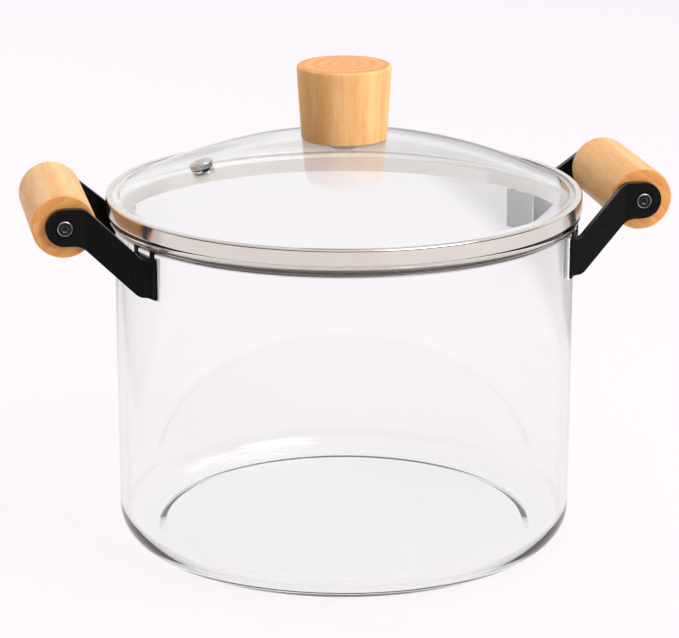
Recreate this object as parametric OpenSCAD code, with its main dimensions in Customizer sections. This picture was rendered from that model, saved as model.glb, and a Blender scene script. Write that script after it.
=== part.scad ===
// Glass saucepan with a domed glass lid.
// A borosilicate pot with a rolled rim, two side handles (a wooden grip between two black arms)
// and a glass lid in a steel rim with a steam vent and a wooden knob.
// Frame: millimetres, +Z up, origin on the pot's axis on the surface that it stands on.
// +X points to the right-hand handle; each handle is the mirror image of the other.

/* [Pot] */
// Outer radius of the glass wall
pot_r = 100; // [80:1:130]
// Height of the rim above the table
pot_h = 147; // [110:1:200]
// Thickness of the glass wall
pot_wall = 3.3; // [2.5:0.1:5]
// Thickness of the glass base
pot_base = 4.5; // [3:0.1:7]
// Outer radius of the rounded bottom corner
corner_r = 13; // [9:0.5:20]
// Radius of the rolled bead round the rim
bead_r = 2; // [1.6:0.1:3]
// How far the bead stands out from the wall
bead_out = 2.7; // [2:0.1:3.2]
// Width of the ring that the pot stands on
rest_w = 4; // [3:1:20]
// How far the base is raised inside that ring
push_up = 0.8; // [0.4:0.1:2]

/* [Handles] */
// Length of a wooden grip
grip_len = 63; // [50:1:80]
// Radius of a wooden grip
grip_r = 13.6; // [11:0.1:16]
// Distance of the grips' axis outside the glass wall
grip_reach = 25; // [21:0.5:32]
// Height of the grips' axis above the rim
grip_rise = 4.5; // [0:0.5:8]
// Thickness of an arm
arm_t = 3; // [2:0.1:4]
// Radius of the round end of an arm
arm_end_r = 8; // [6:0.1:10]
// Height of an arm where it meets its foot plate
arm_foot_h = 16.3; // [12:0.1:20]
// How far the top of an arm's foot lies below the rim
arm_foot_drop = 8; // [7.5:0.1:14]
// Angle round the pot from the handle's centre line to an arm's foot
foot_angle = 27.2; // [24:0.1:32]
// Thickness of a foot plate
plate_t = 1.2; // [0.8:0.1:2]
// Thickness of the soft pad behind a foot plate
pad_t = 0.8; // [0.5:0.1:1.5]
// Radius of the wire hoop under the bead
hoop_wire_r = 0.6; // [0.5:0.05:0.8]
// Radius of a grip bolt's head
bolt_head_r = 3.2; // [2.9:0.1:4]
// Radius of a sleeve nut's barrel
sleeve_r = 2.6; // [2.2:0.1:2.8]
// Radius of a grip bolt's shank
bolt_r = 1.75; // [1.5:0.05:2]

/* [Lid] */
// Height of the steel band round the lid
band_h = 7.1; // [6.5:0.1:10]
// Thickness of the sheet steel of the lid's rim
sheet_t = 0.5; // [0.4:0.1:0.8]
// Width of the lip that holds the glass down
lip_w = 2.9; // [2:0.1:5]
// How far the lid's rim stands out from the glass wall
ring_over = 3.4; // [3.2:0.1:6]
// Depth of the skirt inside the pot's mouth
skirt_h = 6; // [4:0.5:10]
// Clearance round the skirt inside the mouth
skirt_gap = 0.7; // [0.4:0.1:2]
// Thickness of the lid glass
lid_t = 4; // [3:0.1:5]
// Rise of the dome from its edge to its top
dome_rise = 23.9; // [15:0.1:40]
// Distance of the vent from the lid's axis
vent_r = 63.3; // [40:0.1:75]
// Direction of the vent round the lid
vent_dir = 186; // [0:1:359]
// Radius of the vent eyelet's flange
vent_flange_r = 5.1; // [4.6:0.1:7]

/* [Knob] */
// Radius of the knob at its top
knob_top_r = 20.7; // [16:0.1:25]
// Radius of the knob at its bottom
knob_bottom_r = 18.5; // [16:0.1:22]
// Height of the knob
knob_h = 32.3; // [22:0.1:45]
// Radius of the rounded edge at the knob's top
knob_edge_r = 1.4; // [0.5:0.1:3]
// Radius of the knob screw's shank
screw_r = 2.5; // [2:0.1:3]

/* [Hidden] */

$fn = 96;
eps = 0.02;

// Clearances
seat_gap = 0.05;     // between pieces that are clamped together
rest_gap = 0.2;      // between the lid's rim and the pot's rim
turn_fit = 0.05;     // round a bolt or a barrel in its hole
thread_fit = 0.02;   // round a thread, drawn plain

// Pot
pot_in_r = pot_r - pot_wall;
corner_in_r = corner_r - pot_wall;
rest_out_r = pot_r - corner_r;
bead_z = pot_h - bead_r;
bead_mid_r = pot_r + bead_out - bead_r;
mouth_edge_r = 1.4;

// Wire hoop under the bead
hoop_r = pot_r + seat_gap + hoop_wire_r;
hoop_z = bead_z - bead_r - hoop_wire_r - seat_gap;
hoop_out_r = hoop_r + hoop_wire_r;

// Foot plates and pads, as sectors round the pot
plate_in_r = pot_r + pad_t;
plate_out_r = plate_in_r + plate_t;
foot_top_z = pot_h - arm_foot_drop;
foot_low_z = foot_top_z - arm_foot_h;
plate_margin = 0.5;
pad_margin = 0.9;
plate_behind = 8.5;
plate_ahead = 1.4;
plate_from = foot_angle - plate_behind;
plate_to = foot_angle + plate_ahead;
pad_over = 0.6;
tab_span = 1.7;
tab_inset = 0.5;
tab_in_r = hoop_out_r + eps;
tab_top_z = hoop_z + hoop_wire_r;

// Grips and arms
grip_x = pot_r + grip_reach;
grip_z = pot_h + grip_rise;
grip_half = grip_len / 2;
grip_edge = 1;
arm_out_y = grip_half + seat_gap + arm_t;
bend_x = grip_x - 7.5;
bend_r = 3;
splay = atan2(plate_out_r * sin(foot_angle) - arm_out_y, bend_x - plate_out_r * cos(foot_angle));
arm_reach = (bend_x - pot_r * cos(foot_angle)) / cos(splay) + 3;
bolt_head_h = 1.2;
bolt_bevel = 0.35;
bolt_grip = 22;
socket_r = 1.45;
socket_depth = 0.9;
sleeve_end = 0.5;

// Lid rim
ring_r = pot_r + ring_over;
ring_z = pot_h + rest_gap;
ring_top_z = ring_z + band_h;
ring_edge_r = 0.9;
skirt_r = pot_in_r - skirt_gap;

// Lid glass: a spherical dome with a flat edge
edge_out_r = ring_r - sheet_t - 0.5;
edge_top_z = ring_top_z - sheet_t - seat_gap;
edge_low_z = edge_top_z - lid_t;
edge_round = 1;
dome_r = ring_r - lip_w - 2;
dome_top_z = edge_top_z + dome_rise;
sphere_r = (dome_r * dome_r + dome_rise * dome_rise) / (2 * dome_rise);
sphere_z = dome_top_z - sphere_r;
seal_w = 5.4;

// Knob and what holds it
knob_z = sphere_z + sqrt(pow(sphere_r, 2) - pow(knob_bottom_r, 2)) + 0.3;
dish_r = knob_bottom_r - 3.5;
dish_z = knob_z + 2.2;
screw_hole_r = screw_r + 1.5;
insert_r = screw_r + 1.5;
insert_h = 13;
under_z = sphere_z + sqrt(pow(sphere_r - lid_t, 2) - pow(8, 2)) - seat_gap;
under_seal_t = 0.8;
washer_r = 8;
washer_t = 0.8;
washer_z = under_z - under_seal_t - washer_t - seat_gap;
screw_head_r = 4.5;
screw_head_h = 2;
screw_reach = insert_h - 1;

// Vent
vent_tilt = asin(vent_r / sphere_r);
vent_hole_r = 3.6;
vent_tube_r = 3.4;
vent_bore_r = 2.6;
vent_washer_t = 0.5;
vent_cap_h = 2.2;
vent_holes = 6;
vent_hole_ring_r = 1.7;
vent_pin_r = 0.4;

// ---------- helpers ----------

// Points of an arc that rounds corner b between a and c with radius r
function corner_arc(a, b, c, r, steps = 8) =
    let (
        u = (a - b) / norm(a - b),
        v = (c - b) / norm(c - b),
        half = acos(u * v) / 2,
        centre = b + (u + v) / norm(u + v) * r / sin(half),
        first = b + u * r / tan(half) - centre,
        last = b + v * r / tan(half) - centre,
        from = atan2(first.y, first.x),
        turn = atan2(first.x * last.y - first.y * last.x, first * last)
    )
    [for (i = [0 : steps]) centre + r * [cos(from + turn * i / steps), sin(from + turn * i / steps)]];

// Outline through corners, where radii[i] rounds corner i and 0 leaves it sharp
function rounded(corners, radii) =
    let (n = len(corners))
    [for (i = [0 : n - 1])
        each radii[i] == 0
            ? [corners[i]]
            : corner_arc(corners[(i + n - 1) % n], corners[i], corners[(i + 1) % n], radii[i])];

// Upright block of a ring round the Z axis, between two angles
module sector(in_r, out_r, low_z, high_z, from, to) {
    far = 2 * out_r;
    difference() {
        intersection() {
            translate([0, 0, low_z]) cylinder(r = out_r, h = high_z - low_z);
            translate([0, 0, low_z]) linear_extrude(high_z - low_z)
                polygon([[0, 0], [far * cos(from), far * sin(from)], [far * cos(to), far * sin(to)]]);
        }
        translate([0, 0, low_z - 1]) cylinder(r = in_r, h = high_z - low_z + 2);
    }
}

// Half of a rounded bar's section: a box with its two outer corners rounded
module round_end(in_r, out_r, low_z, high_z, edge) {
    translate([in_r, low_z]) square([out_r - edge - in_r, high_z - low_z]);
    translate([out_r - edge - eps, low_z + edge]) square([edge + eps, high_z - low_z - 2 * edge]);
    translate([out_r - edge, low_z + edge]) circle(edge);
    translate([out_r - edge, high_z - edge]) circle(edge);
}

// Moves a piece of the right handle's front side to its own handle and side
module handed(side, end) {
    mirror([side < 0 ? 1 : 0, 0, 0]) mirror([0, end > 0 ? 1 : 0, 0]) children();
}

// Places children on the dome at the vent, with +Z along the glass's outward normal
module at_vent() {
    translate([0, 0, sphere_z]) rotate([0, 0, vent_dir]) rotate([0, vent_tilt, 0])
        translate([0, 0, sphere_r]) children();
}

// ---------- pot ----------

// Section of the pot as a solid block: wall, rounded corner and rolled rim
module pot_outline() {
    translate([0, corner_r]) square([pot_r, bead_z - corner_r]);
    square([rest_out_r, corner_r]);
    translate([rest_out_r, corner_r]) circle(corner_r);
    translate([bead_mid_r, bead_z]) circle(bead_r);
    translate([0, bead_z - eps]) square([bead_mid_r, bead_r + eps]);
}

// Section of the space inside the pot, with the mouth's rounded inner edge
module pot_space() {
    translate([-1, pot_base + corner_in_r]) square([pot_in_r + 1, pot_h]);
    translate([-1, pot_base]) square([pot_in_r - corner_in_r + 1, corner_in_r + eps]);
    translate([pot_in_r - corner_in_r, pot_base + corner_in_r]) circle(corner_in_r);
    difference() {
        translate([pot_in_r - eps, pot_h - mouth_edge_r]) square([mouth_edge_r + eps, mouth_edge_r + 1]);
        translate([pot_in_r + mouth_edge_r, pot_h - mouth_edge_r]) circle(mouth_edge_r);
    }
}

// One-piece glass pot with a slightly raised base
module pot_glass() {
    recess_r = rest_out_r - rest_w;
    color([0.86, 0.93, 0.92, 0.35]) rotate_extrude($fn = 180) intersection() {
        difference() {
            pot_outline();
            pot_space();
            polygon([[-1, -1], [recess_r, -1], [recess_r, 0], [recess_r - 4 * push_up, push_up], [-1, push_up]]);
        }
        square([2 * pot_r, 2 * pot_h]);
    }
}

// Sprung steel wire that lies under the bead and holds the foot plates to the wall
module neck_hoop() {
    color([0.75, 0.75, 0.76]) rotate_extrude($fn = 180) translate([hoop_r, hoop_z]) circle(hoop_wire_r);
}

// ---------- handles ----------

// Turned wooden grip with a through bore along Y
module grip(side) {
    color([0.86, 0.6, 0.34]) handed(side, -1) translate([grip_x, 0, grip_z]) rotate([90, 0, 0])
        rotate_extrude() difference() {
            polygon(rounded(
                [[0, -grip_half], [grip_r, -grip_half], [grip_r, grip_half], [0, grip_half]],
                [0, grip_edge, grip_edge, 0]
            ));
            translate([-1, -grip_half - 1]) square([1 + sleeve_r + 2 * turn_fit, grip_len + 2]);
        }
}

// Plan of an arm: flat where it holds the grip, then bent outwards to reach the wall
module arm_plan() {
    wedge = 3 * (bend_r + arm_t);
    translate([bend_x, -arm_out_y - bend_r]) {
        translate([0, bend_r]) square([grip_x - bend_x + arm_end_r, arm_t]);
        intersection() {
            difference() {
                circle(bend_r + arm_t);
                circle(bend_r);
            }
            polygon([[eps, 0], [eps, wedge], [-wedge * sin(splay), wedge * cos(splay)], [0, 0]]);
        }
        rotate(splay) translate([-arm_reach, bend_r]) square([arm_reach + eps, arm_t]);
    }
}

// Side view of an arm: round end, sloping web and upright foot
module arm_side() {
    foot_x = plate_out_r * cos(foot_angle);
    end_low_z = grip_z - arm_end_r;
    end_top_z = grip_z + arm_end_r;
    translate([grip_x, grip_z]) circle(arm_end_r);
    polygon(rounded(
        [
            [foot_x - 12, foot_low_z], [foot_x + 5, foot_low_z], [grip_x - 6.5, end_low_z],
            [grip_x, end_low_z], [grip_x, end_top_z], [grip_x - 8.5, end_top_z],
            [foot_x + 3.5, foot_top_z], [foot_x - 12, foot_top_z]
        ],
        [0, 5, 8, 0, 0, 8, 5, 0]
    ));
}

// Pressed steel arm, bent once, with a hole for the grip bolt and an end shaped to its foot plate
module arm(side, end) {
    color([0.06, 0.06, 0.065]) handed(side, end) difference() {
        intersection() {
            translate([0, 0, foot_low_z - 1]) linear_extrude(grip_z + arm_end_r - foot_low_z + 2) arm_plan();
            translate([0, 1, 0]) rotate([90, 0, 0]) linear_extrude(pot_r) arm_side();
        }
        translate([0, 0, foot_low_z - 2]) cylinder(r = plate_out_r, h = pot_h, $fn = 180);
        translate([grip_x, 0, grip_z]) rotate([90, 0, 0]) cylinder(r = sleeve_r + turn_fit, h = pot_r);
    }
}

// Curved plate that an arm is welded to, with two tabs welded to the hoop
module foot_plate(side, end) {
    low_z = foot_low_z - plate_margin;
    high_z = foot_top_z + plate_margin;
    color([0.06, 0.06, 0.065]) handed(side, end) mirror([0, 1, 0]) {
        sector(plate_in_r, plate_out_r, low_z, high_z, plate_from, plate_to);
        for (start = [plate_from + tab_inset, plate_to - tab_inset - tab_span])
            sector(tab_in_r, plate_out_r, high_z - 1, tab_top_z, start, start + tab_span);
    }
}

// Heatproof silicone pad between a foot plate and the glass
module foot_pad(side, end) {
    color([0.1, 0.1, 0.1]) handed(side, end) mirror([0, 1, 0]) sector(
        pot_r + eps, plate_in_r - eps,
        foot_low_z - pad_margin, foot_top_z + pad_margin,
        plate_from - pad_over, plate_to + pad_over
    );
}

// Low round head with a bevelled edge, outer face at height h
module bolt_head(h) {
    cylinder(r = bolt_head_r, h = h - bolt_bevel);
    translate([0, 0, h - bolt_bevel]) cylinder(r1 = bolt_head_r, r2 = bolt_head_r - bolt_bevel, h = bolt_bevel);
}

// Grip bolt: goes in from the front arm and screws into the sleeve nut
module grip_bolt(side) {
    color([0.08, 0.08, 0.08]) handed(side, -1) translate([grip_x, -arm_out_y, grip_z]) rotate([90, 0, 0]) {
        difference() {
            bolt_head(bolt_head_h);
            translate([0, 0, bolt_head_h - socket_depth]) cylinder(r = socket_r, h = 2, $fn = 6);
        }
        translate([0, 0, -bolt_grip]) cylinder(r = bolt_r, h = bolt_grip + eps);
    }
}

// Sleeve nut: its barrel runs through the rear arm, the grip and into the front arm's hole
module sleeve_nut(side) {
    barrel = 2 * arm_out_y - sleeve_end;
    color([0.08, 0.08, 0.08]) handed(side, 1) translate([grip_x, -arm_out_y, grip_z]) rotate([90, 0, 0])
        difference() {
            union() {
                bolt_head(bolt_head_h);
                translate([0, 0, -barrel]) cylinder(r = sleeve_r, h = barrel + eps);
            }
            translate([0, 0, -barrel - 1]) cylinder(r = bolt_r + thread_fit, h = bolt_grip + 3);
            translate([0, 0, bolt_head_h - socket_depth]) cylinder(r = socket_r, h = 2, $fn = 6);
        }
}

// ---------- lid ----------

// Folded steel rim: lip, outer band, flange that rests on the pot, and skirt inside the mouth
module lid_rim() {
    color([0.8, 0.79, 0.78]) rotate_extrude($fn = 180) {
        difference() {
            round_end(ring_r - lip_w, ring_r, ring_z, ring_top_z, ring_edge_r);
            round_end(ring_r - lip_w - 1, ring_r - sheet_t, ring_z + sheet_t, ring_top_z - sheet_t,
                ring_edge_r - sheet_t);
        }
        translate([skirt_r - sheet_t, ring_z]) square([ring_r - lip_w - skirt_r + sheet_t + eps, sheet_t]);
        translate([skirt_r - sheet_t, ring_z - skirt_h]) square([sheet_t, skirt_h + eps]);
    }
}

// Silicone filling between the rim's flange and the edge of the glass
module lid_rim_seal() {
    low_z = ring_z + sheet_t + seat_gap;
    color([0.75, 0.75, 0.74]) rotate_extrude($fn = 180)
        translate([edge_out_r - seal_w, low_z]) square([seal_w, edge_low_z - seat_gap - low_z]);
}

// Dome of even thickness with a flat edge, a screw hole and a vent hole
module lid_glass() {
    color([0.86, 0.93, 0.92, 0.35]) difference() {
        rotate_extrude($fn = 180) {
            intersection() {
                difference() {
                    translate([0, sphere_z]) circle(sphere_r, $fn = 360);
                    translate([0, sphere_z]) circle(sphere_r - lid_t, $fn = 360);
                }
                translate([0, edge_low_z]) square([dome_r, dome_rise + lid_t + 1]);
            }
            round_end(dome_r - 1, edge_out_r, edge_low_z, edge_top_z, edge_round);
        }
        translate([0, 0, dome_top_z - 2 * lid_t]) cylinder(r = screw_hole_r, h = 3 * lid_t);
        at_vent() translate([0, 0, -2 * lid_t]) cylinder(r = vent_hole_r, h = 3 * lid_t);
    }
}

// Steel eyelet with small steam holes, rolled over under the glass
module vent_eyelet() {
    low_z = seat_gap + vent_washer_t + eps;
    top_z = low_z + vent_cap_h;
    roll_z = -lid_t - 3 * seat_gap;
    color([0.75, 0.74, 0.73]) at_vent() difference() {
        union() {
            translate([0, 0, low_z]) cylinder(r = vent_flange_r, h = vent_cap_h - 0.4);
            translate([0, 0, top_z - 0.4]) cylinder(r1 = vent_flange_r, r2 = vent_flange_r - 0.4, h = 0.4);
            cylinder(r = vent_bore_r + 1.1, h = top_z + 0.3);
            translate([0, 0, roll_z - 0.7]) cylinder(r = vent_tube_r, h = low_z - roll_z + 0.8);
            translate([0, 0, roll_z - 0.7]) cylinder(r = vent_tube_r + 1.1, h = 0.7);
        }
        translate([0, 0, roll_z - 1]) cylinder(r = vent_bore_r, h = top_z - roll_z + 0.5);
        for (i = [0 : vent_holes - 1]) rotate(360 / vent_holes * i)
            translate([vent_hole_ring_r, 0, 0]) cylinder(r = vent_pin_r, h = top_z + 1);
        cylinder(r = vent_pin_r, h = top_z + 1);
    }
}

// Silicone washer between the eyelet's flange and the glass
module vent_washer() {
    color([0.2, 0.2, 0.2]) at_vent() translate([0, 0, seat_gap]) difference() {
        cylinder(r = vent_flange_r - 0.5, h = vent_washer_t);
        translate([0, 0, -1]) cylinder(r = vent_hole_r + 0.2, h = vent_washer_t + 2);
    }
}

// ---------- knob ----------

// Turned wooden knob, wider at the top, dished underneath to sit on the dome
module knob() {
    color([0.88, 0.62, 0.36]) translate([0, 0, knob_z]) difference() {
        rotate_extrude($fn = 144) polygon(rounded(
            [[0, 0], [knob_bottom_r, 0], [knob_top_r, knob_h], [0, knob_h]],
            [0, 0.5, knob_edge_r, 0]
        ));
        translate([0, 0, -1]) cylinder(r = dish_r, h = dish_z - knob_z + 1);
        translate([0, 0, dish_z - knob_z - eps]) cylinder(r = insert_r + thread_fit, h = insert_h + 2);
    }
}

// Threaded brass insert pressed into the knob
module knob_insert() {
    color([0.78, 0.62, 0.32]) translate([0, 0, dish_z]) difference() {
        cylinder(r = insert_r, h = insert_h);
        translate([0, 0, -1]) cylinder(r = screw_r + thread_fit, h = insert_h + 2);
    }
}

// Silicone seal in the knob's dish, shaped to the dome
module knob_top_seal() {
    color([0.2, 0.2, 0.2]) difference() {
        translate([0, 0, knob_z - 1]) cylinder(r = dish_r - 0.3, h = dish_z - seat_gap - knob_z + 1);
        translate([0, 0, sphere_z]) sphere(sphere_r + seat_gap, $fn = 200);
        translate([0, 0, knob_z - 2]) cylinder(r = screw_r + 0.3, h = knob_h);
    }
}

// Silicone ring under the glass
module knob_under_seal() {
    color([0.2, 0.2, 0.2]) translate([0, 0, under_z - under_seal_t]) difference() {
        cylinder(r = washer_r, h = under_seal_t);
        translate([0, 0, -1]) cylinder(r = screw_r + 0.3, h = under_seal_t + 2);
    }
}

// Steel washer under that ring
module knob_washer() {
    color([0.75, 0.75, 0.76]) translate([0, 0, washer_z]) difference() {
        cylinder(r = washer_r, h = washer_t);
        translate([0, 0, -1]) cylinder(r = screw_r + 0.2, h = washer_t + 2);
    }
}

// Pan-head screw that clamps the knob to the glass from below
module knob_screw() {
    head_z = washer_z - seat_gap;
    color([0.72, 0.72, 0.73]) difference() {
        union() {
            translate([0, 0, head_z - screw_head_h]) rotate_extrude() polygon(rounded(
                [[0, 0], [screw_head_r, 0], [screw_head_r, screw_head_h], [0, screw_head_h]],
                [0, 0.9, 0, 0]
            ));
            translate([0, 0, head_z - eps]) cylinder(r = screw_r, h = dish_z + screw_reach - head_z);
        }
        translate([0, 0, head_z - screw_head_h - eps]) for (turn = [0, 90]) rotate(turn)
            translate([-2.2, -0.45, 0]) cube([4.4, 0.9, 1.2]);
    }
}

pot_glass();
neck_hoop();
grip(-1);  // left_grip
arm(-1, -1);  // left_front_arm
arm(-1, 1);  // left_rear_arm
grip_bolt(-1);  // left_grip_bolt
sleeve_nut(-1);  // left_sleeve_nut
foot_plate(-1, -1);  // left_front_foot_plate
foot_plate(-1, 1);  // left_rear_foot_plate
foot_pad(-1, -1);  // left_front_foot_pad
foot_pad(-1, 1);  // left_rear_foot_pad
grip(1);  // right_grip
arm(1, -1);  // right_front_arm
arm(1, 1);  // right_rear_arm
grip_bolt(1);  // right_grip_bolt
sleeve_nut(1);  // right_sleeve_nut
foot_plate(1, -1);  // right_front_foot_plate
foot_plate(1, 1);  // right_rear_foot_plate
foot_pad(1, -1);  // right_front_foot_pad
foot_pad(1, 1);  // right_rear_foot_pad
lid_glass();
lid_rim();
lid_rim_seal();
vent_eyelet();
vent_washer();
knob();
knob_insert();
knob_screw();
knob_washer();
knob_top_seal();
knob_under_seal();
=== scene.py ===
"""Looks of a glass saucepan with a domed glass lid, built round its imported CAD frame.

The pot, the lid and the wooden pieces are turned afresh from their outlines, the black arms and
their bolts are softened copies of the CAD nodes, and the small hidden pieces stay as packed.
"""

import logging
import math
from dataclasses import dataclass
from enum import Enum
from typing import Optional

import bmesh
import bpy
from mathutils import Matrix, Vector


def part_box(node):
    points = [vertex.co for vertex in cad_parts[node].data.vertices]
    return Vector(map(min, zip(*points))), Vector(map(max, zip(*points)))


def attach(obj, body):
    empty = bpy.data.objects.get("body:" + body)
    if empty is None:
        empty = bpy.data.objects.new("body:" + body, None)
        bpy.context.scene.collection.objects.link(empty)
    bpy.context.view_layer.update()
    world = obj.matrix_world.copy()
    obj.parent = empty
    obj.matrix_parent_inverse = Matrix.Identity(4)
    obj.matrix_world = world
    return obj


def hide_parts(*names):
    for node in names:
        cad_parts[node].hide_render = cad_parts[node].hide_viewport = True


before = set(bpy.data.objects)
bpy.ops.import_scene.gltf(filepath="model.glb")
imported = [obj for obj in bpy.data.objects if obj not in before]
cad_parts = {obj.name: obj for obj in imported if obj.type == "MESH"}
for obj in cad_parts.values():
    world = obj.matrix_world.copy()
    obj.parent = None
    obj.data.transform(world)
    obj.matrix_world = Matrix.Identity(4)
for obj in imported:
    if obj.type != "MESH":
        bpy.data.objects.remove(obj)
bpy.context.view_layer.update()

MM = 0.001
HOLD = 0.12
FULL_TURN = 2 * math.pi
LOG = logging.getLogger("saucepan")

Colour = tuple[float, float, float, float]


class Axis(Enum):
    """The way a piece's grain or turning axis points."""

    ALONG_Y = "y"
    UPRIGHT = "z"


class Handle(Enum):
    """One of the two side handles."""

    LEFT = "left"
    RIGHT = "right"


# ---------------------------------------------------------------- meshes


class Outline:
    """A lathe outline drawn from point to point, in millimetres of radius and height."""

    def __init__(self, radius: float, height: float) -> None:
        """Starts the outline.

        Args:
            radius: distance of the first point from the turning axis.
            height: height of the first point.
        """
        self.mesh = bmesh.new()
        self.first = self.mesh.verts.new((radius * MM, 0.0, height * MM))
        self.tip = self.first

    def _to(self, radius: float, height: float) -> None:
        """Draws one edge to a point.

        Args:
            radius: radius of the point in millimetres.
            height: height of the point in millimetres.
        """
        grown = bmesh.ops.extrude_vert_indiv(self.mesh, verts=[self.tip])
        self.tip = grown["verts"][0]
        self.tip.co = (radius * MM, 0.0, height * MM)

    def line(self, radius: float, height: float) -> "Outline":
        """Draws a straight stretch, with a holding point near each end so that it shades flat.

        Args:
            radius: radius at its far end.
            height: height at its far end.

        Returns:
            The outline itself.
        """
        start_r, start_z = self.tip.co.x / MM, self.tip.co.z / MM
        length = math.hypot(radius - start_r, height - start_z)
        if length > 5 * HOLD:
            near = HOLD / length
            for share in (near, 2 * near, 1 - 2 * near, 1 - near):
                self._to(start_r + (radius - start_r) * share, start_z + (height - start_z) * share)
        self._to(radius, height)
        return self

    def arc(self, radius: float, height: float, degrees: float, steps: int = 8) -> "Outline":
        """Draws an arc from the last point.

        Args:
            radius: radius of the arc's centre.
            height: height of the arc's centre.
            degrees: turn of the arc, positive anticlockwise with radius to the right.
            steps: number of straight pieces.

        Returns:
            The outline itself.
        """
        grown = bmesh.ops.spin(
            self.mesh,
            geom=[self.tip],
            cent=(radius * MM, 0.0, height * MM),
            axis=(0.0, -1.0, 0.0),
            dvec=(0.0, 0.0, 0.0),
            angle=math.radians(degrees),
            steps=steps,
            use_duplicate=False,
        )
        self.tip = grown["geom_last"][0]
        return self

    def turned(self, steps: int, place: Matrix = Matrix.Identity(4)) -> bmesh.types.BMesh:
        """Closes the outline and spins it once round the vertical axis.

        Args:
            steps: number of segments round the axis.
            place: where the turned piece goes.

        Returns:
            The closed mesh, with its faces pointing outwards.
        """
        on_axis = abs(self.first.co.x) < MM * 0.001 and abs(self.tip.co.x) < MM * 0.001
        if not on_axis:
            self.mesh.edges.new((self.tip, self.first))
        bmesh.ops.spin(
            self.mesh,
            geom=self.mesh.verts[:] + self.mesh.edges[:],
            cent=(0.0, 0.0, 0.0),
            axis=(0.0, 0.0, 1.0),
            dvec=(0.0, 0.0, 0.0),
            angle=FULL_TURN,
            steps=steps,
            use_merge=True,
            use_duplicate=False,
        )
        bmesh.ops.remove_doubles(self.mesh, verts=self.mesh.verts[:], dist=MM * 0.0005)
        bmesh.ops.recalc_face_normals(self.mesh, faces=self.mesh.faces[:])
        bmesh.ops.transform(self.mesh, matrix=place, verts=self.mesh.verts[:])
        return self.mesh


def to_object(name: str, shape: bmesh.types.BMesh, sharp_degrees: float = 35.0) -> bpy.types.Object:
    """Makes a scene object of a bmesh.

    Args:
        name: name of the piece.
        shape: the mesh in the making, which is freed.
        sharp_degrees: edges that turn by more than this stay crisp.

    Returns:
        The object, at the origin.
    """
    mesh = bpy.data.meshes.new(name)
    shape.to_mesh(mesh)
    shape.free()
    mesh.shade_smooth()
    mesh.set_sharp_from_angle(angle=math.radians(sharp_degrees))
    piece = bpy.data.objects.new(name, mesh)
    bpy.context.scene.collection.objects.link(piece)
    return piece


def softened_copy(
    node: str, name: str, bevel_mm: float, sharp_degrees: float = 30.0
) -> bpy.types.Object:
    """Copies a CAD node, joins its loose triangles and rounds its hard edges.

    Args:
        node: the CAD node.
        name: name of the new piece.
        bevel_mm: width of the rounding.
        sharp_degrees: edges that turn by more than this are rounded.

    Returns:
        The new piece.
    """
    shape = bmesh.new()
    shape.from_mesh(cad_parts[node].data)
    bmesh.ops.remove_doubles(shape, verts=shape.verts[:], dist=MM * 0.002)
    bmesh.ops.dissolve_limit(
        shape, angle_limit=math.radians(0.6), verts=shape.verts[:], edges=shape.edges[:]
    )
    limit = math.radians(sharp_degrees)
    hard = [e for e in shape.edges if e.is_manifold and e.calc_face_angle(0.0) > limit]
    bmesh.ops.bevel(
        shape,
        geom=hard,
        offset=bevel_mm * MM,
        offset_type="OFFSET",
        affect="EDGES",
        segments=3,
        profile=0.5,
        clamp_overlap=True,
        material=-1,
    )
    piece = to_object(name, shape)
    weighted = piece.modifiers.new("even_normals", "WEIGHTED_NORMAL")
    weighted.keep_sharp = True
    return piece


def cut_away(piece: bpy.types.Object, cutter: bmesh.types.BMesh) -> None:
    """Cuts one shape out of a piece and keeps the result as its mesh.

    Args:
        piece: the piece to cut.
        cutter: the shape to take away, which is freed.
    """
    tool = to_object("cutter", cutter)
    change = piece.modifiers.new("cut", "BOOLEAN")
    change.operation = "DIFFERENCE"
    change.solver = "EXACT"
    change.object = tool
    graph = bpy.context.evaluated_depsgraph_get()
    cut = bpy.data.meshes.new_from_object(piece.evaluated_get(graph))
    piece.modifiers.remove(change)
    old = piece.data
    piece.data = cut
    bpy.data.meshes.remove(old)
    bpy.data.objects.remove(tool)


def rod(
    radius_mm: float, low_mm: float, high_mm: float, place: Matrix, segments: int = 32
) -> bmesh.types.BMesh:
    """Makes a plain rod, to cut a hole with.

    Args:
        radius_mm: its radius.
        low_mm: its lower end, along its own axis.
        high_mm: its upper end.
        place: where it goes.
        segments: sides of the rod.

    Returns:
        The rod's mesh.
    """
    shape = bmesh.new()
    middle = Matrix.Translation((0.0, 0.0, (low_mm + high_mm) / 2 * MM))
    bmesh.ops.create_cone(
        shape,
        cap_ends=True,
        segments=segments,
        radius1=radius_mm * MM,
        radius2=radius_mm * MM,
        depth=(high_mm - low_mm) * MM,
        matrix=place @ middle,
    )
    return shape


def adopt(piece: bpy.types.Object, node: str, body: str) -> bpy.types.Object:
    """Puts a piece in the place of a CAD node.

    Args:
        piece: the new piece.
        node: the CAD node it stands for.
        body: the CAD body it moves with.

    Returns:
        The piece.
    """
    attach(piece, body)
    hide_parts(node)
    LOG.info("piece %s stands for %s", piece.name, node)
    return piece


# ---------------------------------------------------------------- shader tools


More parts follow.
